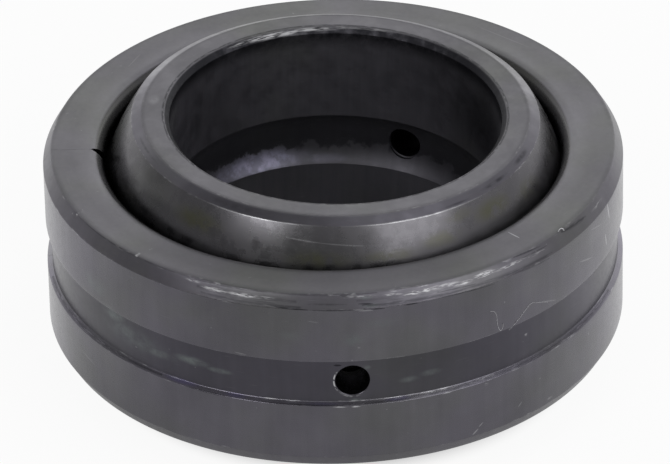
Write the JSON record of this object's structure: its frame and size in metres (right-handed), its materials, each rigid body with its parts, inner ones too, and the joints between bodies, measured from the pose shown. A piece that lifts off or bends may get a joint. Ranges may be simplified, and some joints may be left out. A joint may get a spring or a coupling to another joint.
{
  "type": "spherical plain bearing",
  "caption": "Radial spherical plain bearing in blackened steel: a cracked outer ring with an oil groove swivels on a ball-shaped inner ring with a plain bore.",
  "frame": {"origin": "the ball's centre, which is the centre of both rings and of the whole part", "axes": "+Z along the bore, square to the inner ring's faces; +X towards the side where the outer ring stands higher; +Y away from the viewer of the picture"},
  "size_m": [0.0352, 0.035, 0.016],
  "materials": {
    "outer_ring_steel": "satin",
    "inner_ring_steel": "satin"
  },
  "bodies": {
    "inner_ring": {"inner_ring": "inner_ring_steel"},
    "outer_ring": {"outer_ring": "outer_ring_steel"}
  },
  "joints": [
    {"name": "tilt", "type": "hinge", "parent": "inner_ring", "child": "outer_ring", "pos_m": [0, 0, 0], "axis": [0, 1, 0], "range_deg": [-7.5, 10.5]}
  ]
}
